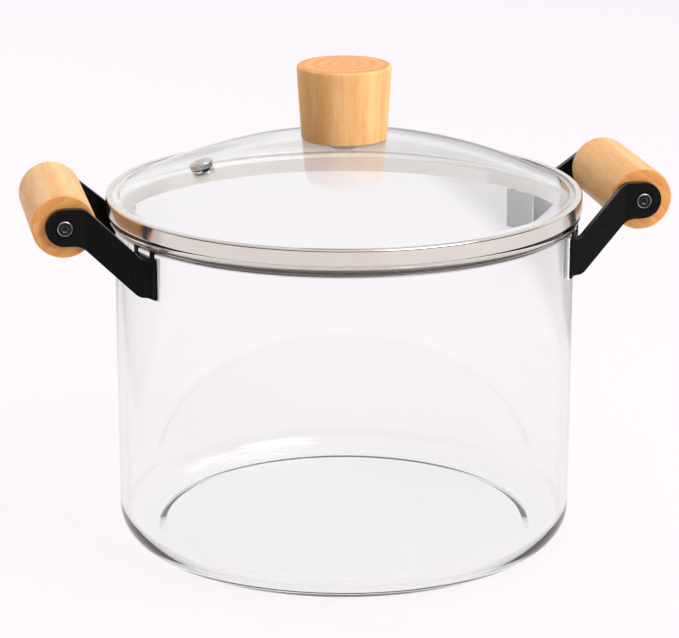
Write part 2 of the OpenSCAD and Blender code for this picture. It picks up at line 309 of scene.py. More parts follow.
class Shading:
    """A node tree in the making, for a material, a world or a node group."""

    def __init__(self, tree: bpy.types.NodeTree) -> None:
        """Empties the tree.

        Args:
            tree: the node tree to build in.
        """
        self.tree = tree
        tree.nodes.clear()

    def node(self, kind: str, **settings: object) -> bpy.types.Node:
        """Adds a node.

        Args:
            kind: its Blender type.
            **settings: properties to set on it.

        Returns:
            The node.
        """
        made = self.tree.nodes.new(kind)
        for key, value in settings.items():
            setattr(made, key, value)
        return made

    def link(self, source: bpy.types.NodeSocket, target: bpy.types.NodeSocket) -> None:
        """Joins an output to an input.

        Args:
            source: the output.
            target: the input.
        """
        self.tree.links.new(source, target)

    def feed(self, target: bpy.types.NodeSocket, value: object) -> None:
        """Sets an input, or joins it where the value is a socket.

        Args:
            target: the input.
            value: a constant or an output.
        """
        if isinstance(value, bpy.types.NodeSocket):
            self.link(value, target)
        else:
            target.default_value = value

    def maths(
        self, operation: str, first: object, second: object = 0.0, clamp: bool = False
    ) -> bpy.types.NodeSocket:
        """Adds a Math node.

        Args:
            operation: its operation.
            first: value or socket.
            second: value or socket.
            clamp: whether the result stays between 0 and 1.

        Returns:
            The result.
        """
        made = self.node("ShaderNodeMath", operation=operation, use_clamp=clamp)
        self.feed(made.inputs[0], first)
        self.feed(made.inputs[1], second)
        return made.outputs[0]

    def blend(self, factor: object, first: object, second: object) -> bpy.types.NodeSocket:
        """Mixes two colours.

        Args:
            factor: 0 for the first, 1 for the second.
            first: colour or socket.
            second: colour or socket.

        Returns:
            The mixed colour.
        """
        made = self.node("ShaderNodeMix", data_type="RGBA", clamp_factor=True)
        self.feed(made.inputs["Factor"], factor)
        self.feed(made.inputs[6], first)
        self.feed(made.inputs[7], second)
        return made.outputs[2]

    def ease(self, value: object, low: float, high: float) -> bpy.types.NodeSocket:
        """Turns a value into a soft step.

        Args:
            value: value or socket.
            low: where the step starts.
            high: where it ends.

        Returns:
            0 below low, 1 above high, smooth between.
        """
        made = self.node("ShaderNodeMapRange", interpolation_type="SMOOTHSTEP")
        self.feed(made.inputs["Value"], value)
        made.inputs["From Min"].default_value = low
        made.inputs["From Max"].default_value = high
        return made.outputs["Result"]

    def noise(
        self, vector: object, scale: float, detail: float = 3.0, rough: float = 0.5
    ) -> bpy.types.NodeSocket:
        """Adds a noise texture.

        Args:
            vector: where to read it.
            scale: cells to the metre of the vector.
            detail: octaves.
            rough: weight of the finer octaves.

        Returns:
            Its value, about 0.5 in the middle.
        """
        made = self.node("ShaderNodeTexNoise")
        self.feed(made.inputs["Vector"], vector)
        made.inputs["Scale"].default_value = scale
        made.inputs["Detail"].default_value = detail
        made.inputs["Roughness"].default_value = rough
        return made.outputs["Fac"]

    def stretched(self, vector: object, scale: tuple[float, float, float]) -> bpy.types.NodeSocket:
        """Scales a vector, axis by axis.

        Args:
            vector: vector or socket.
            scale: factor for each axis.

        Returns:
            The scaled vector.
        """
        made = self.node("ShaderNodeMapping", vector_type="POINT")
        self.feed(made.inputs["Vector"], vector)
        made.inputs["Scale"].default_value = scale
        return made.outputs["Vector"]

    def bump(
        self, height: object, strength: float, depth_mm: float, normal: Optional[object] = None
    ) -> bpy.types.NodeSocket:
        """Turns a height into a normal.

        Args:
            height: value or socket.
            strength: share of the effect.
            depth_mm: height of a step from 0 to 1.
            normal: an earlier normal to build on.

        Returns:
            The bumped normal.
        """
        made = self.node("ShaderNodeBump")
        made.inputs["Strength"].default_value = strength
        made.inputs["Distance"].default_value = depth_mm * MM
        self.feed(made.inputs["Height"], height)
        if normal is not None:
            self.feed(made.inputs["Normal"], normal)
        return made.outputs["Normal"]


def new_group(
    name: str, inputs: dict[str, tuple[str, object]], outputs: dict[str, str]
) -> tuple[bpy.types.NodeTree, Shading, bpy.types.Node, bpy.types.Node]:
    """Starts a shader node group.

    Args:
        name: its name.
        inputs: socket name to (socket type, default).
        outputs: socket name to socket type.

    Returns:
        The group, its builder, its input node and its output node.
    """
    tree = bpy.data.node_groups.new(name, "ShaderNodeTree")
    for label, (kind, default) in inputs.items():
        socket = tree.interface.new_socket(name=label, in_out="INPUT", socket_type=kind)
        if default is not None:
            socket.default_value = default
    for label, kind in outputs.items():
        tree.interface.new_socket(name=label, in_out="OUTPUT", socket_type=kind)
    shading = Shading(tree)
    return tree, shading, shading.node("NodeGroupInput"), shading.node("NodeGroupOutput")


class SharedEffects:
    """The node groups that several finishes use, each built once."""

    FLOAT = "NodeSocketFloat"
    VECTOR = "NodeSocketVector"

    def __init__(self) -> None:
        """Builds every group."""
        self.fibres = self._fibres()
        self.speckle = self._speckle()
        self.smudge = self._smudge()

    def _fibres(self) -> bpy.types.NodeTree:
        """Long streaks, short flecks and fine fibres that run along the vector's Z axis.

        Returns:
            The node group.
        """
        tree, s, start, end = new_group(
            "timber_fibres",
            {"Vector": (self.VECTOR, None), "Streaks": (self.FLOAT, 1.0)},
            {"Streak": self.FLOAT, "Fleck": self.FLOAT, "Fibre": self.FLOAT},
        )
        where = start.outputs["Vector"]
        wide = s.noise(s.stretched(where, (1.0, 1.0, 0.05)), 120.0, 4.0, 0.55)
        warp = s.noise(s.stretched(where, (1.0, 1.0, 0.12)), 420.0, 3.0, 0.6)
        both = s.maths("ADD", s.maths("MULTIPLY", wide, 0.65), s.maths("MULTIPLY", warp, 0.35))
        streak = s.ease(both, 0.36, 0.64)
        s.link(s.maths("MULTIPLY", streak, start.outputs["Streaks"]), end.inputs["Streak"])
        short = s.noise(s.stretched(where, (1.0, 1.0, 0.16)), 1500.0, 2.0, 0.5)
        s.link(s.ease(short, 0.60, 0.74), end.inputs["Fleck"])
        fine = s.noise(s.stretched(where, (1.0, 1.0, 0.04)), 2600.0, 2.0, 0.5)
        s.link(fine, end.inputs["Fibre"])
        return tree

    def _speckle(self) -> bpy.types.NodeTree:
        """The fine pimples of a stoved powder finish or a cast surface.

        Returns:
            The node group.
        """
        tree, s, start, end = new_group(
            "fine_speckle",
            {"Vector": (self.VECTOR, None), "Scale": (self.FLOAT, 2600.0)},
            {"Height": self.FLOAT, "Dots": self.FLOAT},
        )
        cells = s.node("ShaderNodeTexVoronoi", feature="SMOOTH_F1")
        s.link(start.outputs["Vector"], cells.inputs["Vector"])
        s.link(start.outputs["Scale"], cells.inputs["Scale"])
        s.link(s.maths("SUBTRACT", 1.0, cells.outputs["Distance"], True), end.inputs["Height"])
        s.link(s.ease(cells.outputs["Distance"], 0.45, 0.2), end.inputs["Dots"])
        return tree

    def _smudge(self) -> bpy.types.NodeTree:
        """Broad faint patches where a polished surface is a little less clean.

        Returns:
            The node group.
        """
        tree, s, start, end = new_group(
            "soft_smudge",
            {"Vector": (self.VECTOR, None), "Scale": (self.FLOAT, 30.0)},
            {"Patch": self.FLOAT},
        )
        cloud = s.node("ShaderNodeTexNoise")
        s.link(start.outputs["Vector"], cloud.inputs["Vector"])
        s.link(start.outputs["Scale"], cloud.inputs["Scale"])
        cloud.inputs["Detail"].default_value = 4.0
        s.link(s.ease(cloud.outputs["Fac"], 0.45, 0.7), end.inputs["Patch"])
        return tree


def placed_group(s: Shading, tree: bpy.types.NodeTree, **values: object) -> bpy.types.Node:
    """Places a node group and feeds its inputs by name.

    Args:
        s: the tree to place it in.
        tree: the group.
        **values: value or socket for each named input.

    Returns:
        The group's node.
    """
    made = s.node("ShaderNodeGroup", node_tree=tree)
    for label, value in values.items():
        s.feed(made.inputs[label], value)
    return made


# ---------------------------------------------------------------- finishes


def start_material(
    name: str,
) -> tuple[bpy.types.Material, Shading, bpy.types.Node, bpy.types.NodeSocket]:
    """Starts a material on the Principled shader.

    Args:
        name: its name.

    Returns:
        The material, its builder, the shader node and the Object coordinates.
    """
    material = bpy.data.materials.new(name)
    material.use_nodes = True
    s = Shading(material.node_tree)
    shader = s.node("ShaderNodeBsdfPrincipled")
    output = s.node("ShaderNodeOutputMaterial")
    s.link(shader.outputs["BSDF"], output.inputs["Surface"])
    where = s.node("ShaderNodeTexCoord").outputs["Object"]
    return material, s, shader, where


@dataclass(frozen=True)
class ClearGlass:
    """Clear glass that lets lamps through and darkens a little with depth."""

    name: str
    ior: float = 1.474
    tint: Colour = (0.79, 0.82, 0.80, 1.0)
    depth_per_metre: float = 36.0
    ripple_mm: float = 0.02

    def material(self) -> bpy.types.Material:
        """Builds the material.

        Returns:
            The material.
        """
        material, s, shader, where = start_material(self.name)
        shader.inputs["Base Color"].default_value = (1.0, 1.0, 1.0, 1.0)
        shader.inputs["Roughness"].default_value = 0.0
        shader.inputs["IOR"].default_value = self.ior
        shader.inputs["Transmission Weight"].default_value = 1.0
        ripple = s.noise(s.stretched(where, (1.0, 1.0, 0.5)), 14.0, 1.0, 0.4)
        s.link(s.bump(ripple, 1.0, self.ripple_mm * 14.0), shader.inputs["Normal"])
        output = next(n for n in s.tree.nodes if n.type == "OUTPUT_MATERIAL")
        clear = s.node("ShaderNodeBsdfTransparent")
        clear.inputs["Color"].default_value = (0.93, 0.93, 0.93, 1.0)
        mix = s.node("ShaderNodeMixShader")
        rays = s.node("ShaderNodeLightPath")
        s.link(rays.outputs["Is Shadow Ray"], mix.inputs["Fac"])
        s.link(shader.outputs["BSDF"], mix.inputs[1])
        s.link(clear.outputs["BSDF"], mix.inputs[2])
        s.link(mix.outputs["Shader"], output.inputs["Surface"])
        depth = s.node("ShaderNodeVolumeAbsorption")
        depth.inputs["Color"].default_value = self.tint
        depth.inputs["Density"].default_value = self.depth_per_metre
        s.link(depth.outputs["Volume"], output.inputs["Volume"])
        return material


@dataclass(frozen=True)
class Timber:
    """Oiled straight-grained beech, darker on the end grain."""

    name: str
    effects: SharedEffects
    grain: Axis
    light: Colour = (0.86, 0.505, 0.215, 1.0)
    deep: Colour = (0.76, 0.36, 0.12, 1.0)
    end: Colour = (0.66, 0.25, 0.06, 1.0)
    fleck: Colour = (0.62, 0.27, 0.09, 1.0)

    def material(self) -> bpy.types.Material:
        """Builds the material.

        Returns:
            The material.
        """
        material, s, shader, where = start_material(self.name)
        turn = s.node("ShaderNodeMapping")
        s.link(where, turn.inputs["Vector"])
        if self.grain is Axis.ALONG_Y:
            turn.inputs["Rotation"].default_value = (math.pi / 2, 0.0, 0.0)
        along = turn.outputs["Vector"]
        fibres = placed_group(s, self.effects.fibres, Vector=along, Streaks=1.0)
        side = s.blend(fibres.outputs["Streak"], self.light, self.deep)
        side = s.blend(s.maths("MULTIPLY", fibres.outputs["Fleck"], 0.35), side, self.fleck)
        facing = s.node("ShaderNodeSeparateXYZ")
        s.link(s.node("ShaderNodeTexCoord").outputs["Normal"], facing.inputs[0])
        across = facing.outputs["Y" if self.grain is Axis.ALONG_Y else "Z"]
        is_end = s.ease(s.maths("ABSOLUTE", across), 0.75, 0.95)
        rings = s.node("ShaderNodeTexWave", wave_type="RINGS", rings_direction="Z", wave_profile="SAW")
        s.link(s.stretched(along, (1.0, 1.0, 0.0)), rings.inputs["Vector"])
        rings.inputs["Scale"].default_value = 55.0
        rings.inputs["Distortion"].default_value = 2.0
        rings.inputs["Detail"].default_value = 2.0
        pores = s.noise(along, 2400.0, 2.0, 0.5)
        ring_tone = s.maths("MULTIPLY", rings.outputs["Fac"], 0.25)
        end_tone = s.maths("ADD", ring_tone, s.maths("MULTIPLY", pores, 0.5))
        end_side = s.blend(s.ease(end_tone, 0.15, 0.65), self.end, self.deep)
        s.link(s.blend(is_end, side, end_side), shader.inputs["Base Color"])
        rough = s.maths("ADD", s.maths("MULTIPLY", fibres.outputs["Fleck"], 0.12), 0.5)
        s.link(rough, shader.inputs["Roughness"])
        s.link(s.bump(fibres.outputs["Fibre"], 0.5, 0.05), shader.inputs["Normal"])
        shader.inputs["Specular IOR Level"].default_value = 0.35
        shader.inputs["Coat Weight"].default_value = 0.08
        shader.inputs["Coat Roughness"].default_value = 0.35
        return material


@dataclass(frozen=True)
class SpunSteel:
    """Polished stainless steel with the faint rings of spinning."""

    name: str
    effects: SharedEffects
    colour: Colour = (0.735, 0.69, 0.635, 1.0)
    rough: float = 0.09
    ring_scale: float = 3000.0

    def material(self) -> bpy.types.Material:
        """Builds the material.

        Returns:
            The material.
        """
        material, s, shader, where = start_material(self.name)
        shader.inputs["Metallic"].default_value = 1.0
        lines = s.noise(s.stretched(where, (0.02, 0.02, 1.0)), self.ring_scale, 2.0, 0.5)
        patch = placed_group(s, self.effects.smudge, Vector=where, Scale=28.0).outputs["Patch"]
        dull = tuple(0.93 * c for c in self.colour[:3]) + (1.0,)
        s.link(s.blend(s.maths("MULTIPLY", patch, 0.4), self.colour, dull), shader.inputs["Base Color"])
        rough = s.maths("ADD", s.maths("MULTIPLY", lines, 0.06), self.rough)
        rough = s.maths("ADD", s.maths("MULTIPLY", patch, 0.05), rough)
        s.link(rough, shader.inputs["Roughness"])
        s.link(s.bump(lines, 0.25, 0.01), shader.inputs["Normal"])
        return material


@dataclass(frozen=True)
class StovedPaint:
    """Black textured paint on steel, with painted highlights: a higher specular level on faces that point
    up, and on bolt heads a bright bare-metal bevel ring.
    """

    name: str
    effects: SharedEffects
    colour: Colour = (0.0035, 0.0035, 0.0035, 1.0)
    raised: Colour = (0.018, 0.0175, 0.017, 1.0)
    rough: float = 0.34
    bump_mm: float = 0.035
    gloss: float = 0.06
    upward_highlight_gloss: float = 0.5
    bevel_highlight: float = 0.0

    def material(self) -> bpy.types.Material:
        """Builds the material.

        Returns:
            The material.
        """
        material, s, shader, where = start_material(self.name)
        grain = placed_group(s, self.effects.speckle, Vector=where, Scale=2200.0)
        dots = s.maths("MULTIPLY", grain.outputs["Dots"], 0.6)
        s.link(s.blend(dots, self.colour, self.raised), shader.inputs["Base Color"])
        patch = placed_group(s, self.effects.smudge, Vector=where, Scale=60.0).outputs["Patch"]
        s.link(s.maths("ADD", s.maths("MULTIPLY", patch, 0.08), self.rough), shader.inputs["Roughness"])
        s.link(s.bump(grain.outputs["Height"], 0.6, self.bump_mm), shader.inputs["Normal"])
        facing = s.node("ShaderNodeSeparateXYZ")
        s.link(s.node("ShaderNodeTexCoord").outputs["Normal"], facing.inputs[0])
        # Painted highlight: faces that point up get a higher specular level, so the upper edges shine where
        # the overhead light falls.
        upper = s.ease(facing.outputs["Z"], 0.2, 0.6)
        gloss = s.maths("ADD", s.maths("MULTIPLY", upper, self.upward_highlight_gloss), self.gloss)
        # Painted highlight: the bevel ring of a bolt head is made bright bare metal, standing for the light
        # its rounded edge catches.
        if self.bevel_highlight > 0.0:
            ends = s.maths("ABSOLUTE", facing.outputs["Y"])
            bevel = s.maths("MULTIPLY", s.ease(ends, 0.3, 0.5), s.ease(ends, 0.96, 0.88))
            bevel = s.maths("MULTIPLY", bevel, self.bevel_highlight)
            s.link(bevel, shader.inputs["Metallic"])
            paint = shader.inputs["Base Color"].links[0].from_socket
            s.link(s.blend(bevel, paint, (0.62, 0.60, 0.58, 1.0)), shader.inputs["Base Color"])
        s.link(gloss, shader.inputs["Specular IOR Level"])
        return material


@dataclass(frozen=True)
class Silicone:
    """Matt silicone with a faint moulded grain."""

    name: str
    effects: SharedEffects
    colour: Colour
    rough: float = 0.55

    def material(self) -> bpy.types.Material:
        """Builds the material.

        Returns:
            The material.
        """
        material, s, shader, where = start_material(self.name)
        grain = placed_group(s, self.effects.speckle, Vector=where, Scale=3200.0)
        pale = tuple(min(1.0, 1.15 * c) for c in self.colour[:3]) + (1.0,)
        s.link(s.blend(grain.outputs["Dots"], self.colour, pale), shader.inputs["Base Color"])
        patch = placed_group(s, self.effects.smudge, Vector=where, Scale=80.0).outputs["Patch"]
        s.link(s.maths("ADD", s.maths("MULTIPLY", patch, 0.1), self.rough), shader.inputs["Roughness"])
        s.link(s.bump(grain.outputs["Height"], 0.3, 0.02), shader.inputs["Normal"])
        return material


class Finishes:
    """Every material of the saucepan, by the record's slot."""

    def __init__(self) -> None:
        """Builds the shared effects and all materials."""
        effects = SharedEffects()
        black = (0.006, 0.006, 0.006, 1.0)
        milky = (0.90, 0.89, 0.88, 1.0)
        brass = (0.78, 0.56, 0.25, 1.0)
        worn = (0.02, 0.02, 0.02, 1.0)
        # The knob's beech is the grips' beech with lifted colours: painted light, making up for the light
        # its upright front gets less of than the grips' tops.
        knob_beech_lifted_light = (0.96, 0.60, 0.265, 1.0)
        knob_beech_lifted_deep = (0.87, 0.43, 0.15, 1.0)
        knob_wood = Timber("knob_wood", effects, Axis.UPRIGHT, knob_beech_lifted_light, knob_beech_lifted_deep)
        # The bolt paint carries painted highlights: a bright bare-metal bevel ring on the heads and extra
        # specular on faces that point up.
        bolt_black = StovedPaint(
            "bolt_black", effects, black, worn, 0.3, 0.01, gloss=0.15, upward_highlight_gloss=0.5, bevel_highlight=0.85
        )
        self.by_slot: dict[str, bpy.types.Material] = {
            "pot_glass": ClearGlass("pot_glass").material(),
            "lid_glass": ClearGlass("lid_glass", ior=1.5, tint=(0.81, 0.82, 0.81, 1.0)).material(),
            "grip_wood": Timber("grip_wood", effects, Axis.ALONG_Y).material(),
            "knob_wood": knob_wood.material(),
            "rim_steel": SpunSteel("rim_steel", effects).material(),
            "steel_wire": SpunSteel("steel_wire", effects, (0.72, 0.71, 0.69, 1.0), 0.18).material(),
            "eyelet_steel": SpunSteel("eyelet_steel", effects, (0.66, 0.64, 0.62, 1.0), 0.26).material(),
            "fastener_steel": SpunSteel("fastener_steel", effects, (0.68, 0.68, 0.68, 1.0), 0.25).material(),
            "brass": SpunSteel("brass", effects, brass, 0.22).material(),
            "arm_black": StovedPaint("arm_black", effects).material(),
            "bolt_black": bolt_black.material(),
            "silicone": Silicone("silicone", effects, black).material(),
            "clear_silicone": Silicone("clear_silicone", effects, milky).material(),
        }

    def dress(self, piece: bpy.types.Object, slot: str) -> None:
        """Gives a piece its slot's material and nothing else.

        Args:
            piece: the piece.
            slot: the record's material slot.
        """
        piece.data.materials.clear()
        piece.data.materials.append(self.by_slot[slot])


# ---------------------------------------------------------------- sub-assemblies


@dataclass
class Pot:
    """The glass pot and the wire hoop under its bead. Sizes in millimetres."""

    finishes: Finishes
    wall_r: float = 100.0
    wall_t: float = 3.3
    base_t: float = 4.5
    height: float = 147.0
    corner_r: float = 13.0
    bead_r: float = 2.0
    bead_out: float = 2.7
    mouth_r: float = 1.4
    rest_w: float = 4.0
    push_up: float = 0.8
    steps: int = 240

    def build(self) -> None:
        """Makes the pot and the hoop."""
        glass = to_object("pot_body", self._outline().turned(self.steps))
        self.finishes.dress(adopt(glass, "pot_glass", "pot"), "pot_glass")
        self._hoop()

    def _outline(self) -> Outline:
        """Draws the pot from the middle of its floor over the rim to the middle of its underside.

        Returns:
            The outline, which starts and ends on the axis.
        """
        inside = self.wall_r - self.wall_t
        inner_corner = self.corner_r - self.wall_t
        bead_mid = self.wall_r + self.bead_out - self.bead_r
        bead_z = self.height - self.bead_r
        below = math.degrees(math.acos((self.wall_r - bead_mid) / self.bead_r))
        rest = self.wall_r - self.corner_r
        hollow = rest - self.rest_w
        line = Outline(0.0, self.base_t).line(inside - inner_corner, self.base_t)
        line.arc(inside - inner_corner, self.base_t + inner_corner, 90.0, 14)
        line.line(inside, self.height - self.mouth_r)
        line.arc(inside + self.mouth_r, self.height - self.mouth_r, -90.0, 8)
        line.line(bead_mid, self.height)
        line.arc(bead_mid, bead_z, -90.0 - below, 20)
        line.line(self.wall_r, self.corner_r).arc(rest, self.corner_r, -90.0, 16)
        line.line(hollow, 0.0).line(hollow - 4 * self.push_up, self.push_up)
        return line.line(0.0, self.push_up)

    def _hoop(self) -> None:
        """Makes the wire hoop that lies under the bead."""
        low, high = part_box("neck_hoop")
        wire_r = (high.z - low.z) / 2 / MM
        middle_z = (high.z + low.z) / 2 / MM
        middle_r = high.x / MM - wire_r
        ring = Outline(middle_r + wire_r, middle_z).arc(middle_r, middle_z, 345.0, 23)
        wire = to_object("neck_wire", ring.turned(self.steps))
        self.finishes.dress(adopt(wire, "neck_hoop", "pot"), "steel_wire")


@dataclass
class SideHandle:
    """One side handle: grip, two arms, bolt, nut, foot plates and pads. Sizes in millimetres."""

    finishes: Finishes
    which: Handle
    edge_r: float = 1.0
    bore_r: float = 2.7
    arm_edge: float = 0.45
    plate_edge: float = 0.25
    bolt_edge: float = 0.12

    def build(self) -> None:
        """Makes the handle's pieces."""
        side = self.which.value
        self._grip(side)
        for end in ("front", "rear"):
            self._copy(f"{side}_{end}_arm", f"{side}_{end}_bracket", self.arm_edge, "arm_black")
            plate = f"{side}_{end}_foot_plate"
            self._copy(plate, f"{side}_{end}_saddle", self.plate_edge, "arm_black")
            pad = f"{side}_{end}_foot_pad"
            self._copy(pad, f"{side}_{end}_cushion", self.plate_edge / 2, "clear_silicone")
        self._copy(f"{side}_grip_bolt", f"{side}_bolt", self.bolt_edge, "bolt_black")
        self._copy(f"{side}_sleeve_nut", f"{side}_nut", self.bolt_edge, "bolt_black")

    def _copy(self, node: str, name: str, edge: float, slot: str) -> None:
        """Makes a softened copy of a CAD node and dresses it.

        Args:
            node: the CAD node.
            name: name of the new piece.
            edge: width of its rounding in millimetres.
            slot: the record's material slot.
        """
        piece = adopt(softened_copy(node, name, edge), node, "pot")
        self.finishes.dress(piece, slot)

    def _grip(self, side: str) -> None:
        """Turns the wooden grip with its rounded ends and its bore.

        Args:
            side: left or right.
        """
        low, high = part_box(f"{side}_grip")
        middle = (low + high) / 2
        radius = (high.z - low.z) / 2 / MM
        half = (high.y - low.y) / 2 / MM
        bore = self.bore_r
        e = self.edge_r
        line = Outline(bore, -half).line(radius - e, -half).arc(radius - e, -half + e, 90.0, 6)
        for share in range(1, 8):
            line.line(radius, -half + e + (2 * half - 2 * e) * share / 8)
        line.line(radius, half - e).arc(radius - e, half - e, 90.0, 6).line(bore, half)
        place = Matrix.Translation(middle) @ Matrix.Rotation(math.pi / 2, 4, "X")
        grip = to_object(f"{side}_wood", line.turned(96, place))
        self.finishes.dress(adopt(grip, f"{side}_grip", "pot"), "grip_wood")


@dataclass
class Lid:
    """The domed lid with its rim, vent and knob. Sizes in millimetres."""

    finishes: Finishes
    ring_r: float = 103.4
    lip_w: float = 2.9
    sheet: float = 0.5
    ring_edge: float = 0.9
    skirt_r: float = 96.0
    skirt_h: float = 6.0
    glass_t: float = 4.0
    dome_rise: float = 23.9
    edge_round: float = 1.0
    hole_r: float = 4.0
    vent_r: float = 63.3
    vent_direction: float = 186.0
    steps: int = 240

    def build(self) -> None:
        """Makes the lid's pieces."""
        self._rim()
        self._glass()
        self._vent()
        self._knob()
        for node, slot in (
            ("lid_rim_seal", "clear_silicone"),
            ("vent_washer", "silicone"),
            ("knob_insert", "brass"),
            ("knob_screw", "fastener_steel"),
            ("knob_washer", "fastener_steel"),
            ("knob_top_seal", "silicone"),
            ("knob_under_seal", "silicone"),
        ):
            self.finishes.dress(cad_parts[node], slot)

    def _rim(self) -> None:
        """Folds the steel rim: lip, band, flange and skirt."""
        low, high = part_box("lid_rim")
        top = high.z / MM
        flange = low.z / MM + self.skirt_h
        t, e, out = self.sheet, self.ring_edge, self.ring_r
        lip = out - self.lip_w
        bead = t / 2
        line = Outline(lip + bead, top).line(out - e, top).arc(out - e, top - e, -90.0, 8)
        line.line(out, flange + e).arc(out - e, flange + e, -90.0, 8)
        line.line(self.skirt_r + 0.3, flange).arc(self.skirt_r + 0.3, flange - 0.3, 90.0, 4)
        line.line(self.skirt_r, flange - self.skirt_h + bead)
        line.arc(self.skirt_r - bead, flange - self.skirt_h + bead, -180.0, 8)
        line.line(self.skirt_r - t, flange + t).line(out - e, flange + t)
        line.arc(out - e, flange + e, 90.0, 6).line(out - t, top - e).arc(out - e, top - e, 90.0, 6)
        line.line(lip + bead, top - t).arc(lip + bead, top - bead, -165.0, 8)
        rim = to_object("lid_band", line.turned(self.steps), 50.0)
        self.finishes.dress(adopt(rim, "lid_rim", "lid"), "rim_steel")

    def _sphere(self) -> tuple[float, float, float, float]:
        """Works out the dome.

        Returns:
            The edge's upper height, the dome's radius there, and its sphere's radius and centre height.
        """
        edge_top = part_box("lid_rim")[1].z / MM - self.sheet - 0.05
        dome_r = self.ring_r - self.lip_w - 2.0
        radius = (dome_r**2 + self.dome_rise**2) / (2 * self.dome_rise)
        return edge_top, dome_r, radius, edge_top + self.dome_rise - radius

    def _vent_place(self) -> Matrix:
        """Finds where the vent sits on the dome.

        Returns:
            The place, with Z along the glass's normal.
        """
        _, _, radius, centre_z = self._sphere()
        tilt = math.asin(self.vent_r / radius)
        turn = Matrix.Rotation(math.radians(self.vent_direction), 4, "Z") @ Matrix.Rotation(tilt, 4, "Y")
        centre = Matrix.Translation((0.0, 0.0, centre_z * MM))
        return centre @ turn @ Matrix.Translation((0.0, 0.0, radius * MM))

    def _glass(self) -> None:
        """Turns the dome and drills its vent hole."""
        edge_top, dome_r, radius, centre_z = self._sphere()
        edge_low = edge_top - self.glass_t
        edge_r = self.ring_r - self.sheet - 0.5
        e = self.edge_round
        inner = radius - self.glass_t
        outer_hole = math.degrees(math.acos(self.hole_r / radius))
        outer_edge = math.degrees(math.acos(dome_r / radius))
        inner_hole = math.degrees(math.acos(self.hole_r / inner))
        inner_edge = math.degrees(math.asin((edge_low - centre_z) / inner))
        top = centre_z + math.sqrt(radius**2 - self.hole_r**2)
        line = Outline(self.hole_r, top).arc(0.0, centre_z, outer_edge - outer_hole, 64)
        line.line(edge_r - e, edge_top).arc(edge_r - e, edge_top - e, -90.0, 6)
        line.line(edge_r, edge_low + e).arc(edge_r - e, edge_low + e, -90.0, 6)
        start_r = math.sqrt(inner**2 - (edge_low - centre_z) ** 2)
        line.line(start_r, edge_low).arc(0.0, centre_z, inner_hole - inner_edge, 64)
        glass = to_object("lid_dome", line.turned(self.steps), 60.0)
        cut_away(glass, rod(3.6, -8.0, 4.0, self._vent_place()))
        glass.data.set_sharp_from_angle(angle=math.radians(60.0))
        self.finishes.dress(adopt(glass, "lid_glass", "lid"), "lid_glass")

    def _vent(self) -> None:
        """Makes the eyelet: rounded flange, raised cap, tube, roll and steam holes."""
        flange_r, cap_r, tube_r, bore_r = 5.1, 3.7, 3.4, 2.6
        low, top = 0.57, 2.77
        roll = -self.glass_t - 0.15
        line = Outline(0.0, top + 0.3).line(cap_r - 0.25, top + 0.3).arc(cap_r - 0.25, top + 0.05, -90.0, 4)
        line.line(cap_r + 0.1, top).line(flange_r - 0.5, top).arc(flange_r - 0.5, top - 0.5, -90.0, 6)
        line.line(flange_r, low + 0.2).arc(flange_r - 0.2, low + 0.2, -90.0, 3).line(tube_r, low)
        line.line(tube_r, roll).line(tube_r + 0.8, roll).arc(tube_r + 0.8, roll - 0.35, -180.0, 8)
        line.line(bore_r, roll - 0.7).line(bore_r, top - 0.5).line(0.0, top - 0.5)
        place = self._vent_place()
        eyelet = to_object("vent_cap", line.turned(72, place), 40.0)
        holes = [(0.0, 0.0)] + [
            (1.7 * math.cos(FULL_TURN * i / 6), 1.7 * math.sin(FULL_TURN * i / 6)) for i in range(6)
        ]
        for x, y in holes:
            spot = place @ Matrix.Translation((x * MM, y * MM, 0.0))
            cut_away(eyelet, rod(0.4, 1.5, 4.0, spot, 16))
        eyelet.data.set_sharp_from_angle(angle=math.radians(40.0))
        self.finishes.dress(adopt(eyelet, "vent_eyelet", "lid"), "eyelet_steel")

    def _knob(self) -> None:
        """Turns the tapered wooden knob with its softened edges."""
        low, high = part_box("knob")
        dish_low, dish_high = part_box("knob_top_seal")
        bottom, top = low.z / MM, high.z / MM
        top_r, low_r, edge = high.x / MM, 18.5, 1.4
        lean = math.degrees(math.atan2(top_r - low_r, top - bottom))
        dish_r = dish_high.x / MM + 0.3
        dish_z = dish_high.z / MM + 0.05
        line = Outline(0.0, dish_z).line(dish_r, dish_z).line(dish_r, bottom)
        line.line(low_r - 0.6, bottom).arc(low_r - 0.6, bottom + 0.6, 90.0 - lean, 5)
        for share in range(1, 6):
            reach = share / 6
            line.line(low_r + (top_r - low_r) * reach, bottom + (top - bottom) * reach)
        centre_r = top_r - edge * math.cos(math.radians(lean)) - 0.15
        edge_in = edge * math.cos(math.radians(lean))
        line.line(centre_r + edge_in, top - edge - edge * math.sin(math.radians(lean)))
        line.arc(centre_r, top - edge, 90.0 + lean, 8).line(0.0, top)
        knob = to_object("lid_knob", line.turned(128), 35.0)
        self.finishes.dress(adopt(knob, "knob", "lid"), "knob_wood")


# ---------------------------------------------------------------- studio


